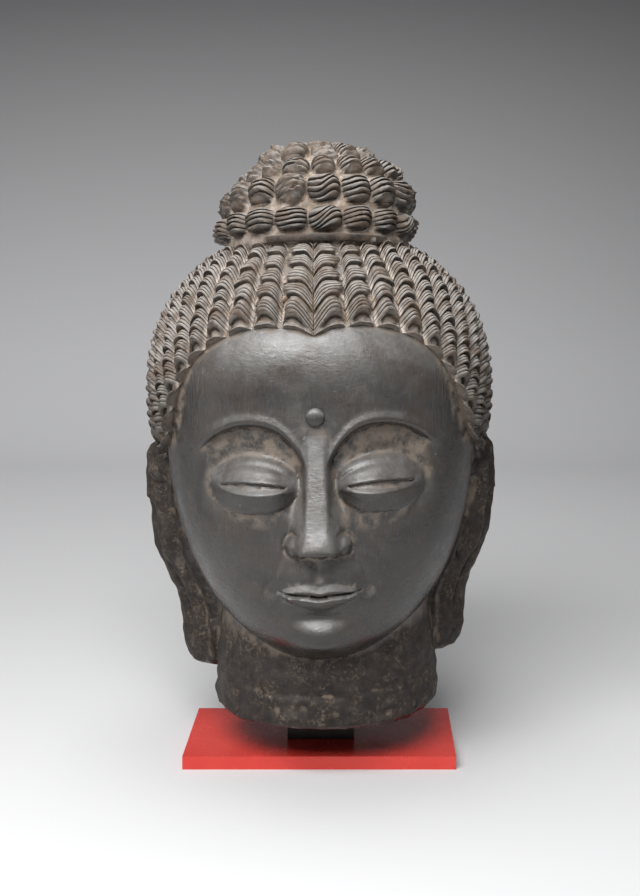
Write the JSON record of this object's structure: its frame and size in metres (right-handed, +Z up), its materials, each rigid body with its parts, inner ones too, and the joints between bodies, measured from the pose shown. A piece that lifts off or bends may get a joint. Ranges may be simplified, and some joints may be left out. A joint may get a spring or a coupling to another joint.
{
  "type": "stone buddha head",
  "caption": "Carved dark stone head with wavy hair, a bun of curls and long earlobes, broken at the neck and held upright on a short dark post and a red plate.",
  "frame": {"origin": "centre of the plate's underside, on the surface that the object stands on", "axes": "+Z up, the face looks towards -Y, +X is to the viewer's right when facing the head"},
  "size_m": [0.3579, 0.3433, 0.6086],
  "materials": {
    "stone": "satin dark schist with fine chisel marks, pale dust in the carving and rough broken neck",
    "dark_paint": "satin near-black paint",
    "red_paint": "semi-gloss red paint"
  },
  "bodies": {
    "root": {"head": "stone", "post": "dark_paint", "base_plate": "red_paint"}
  },
  "joints": []
}
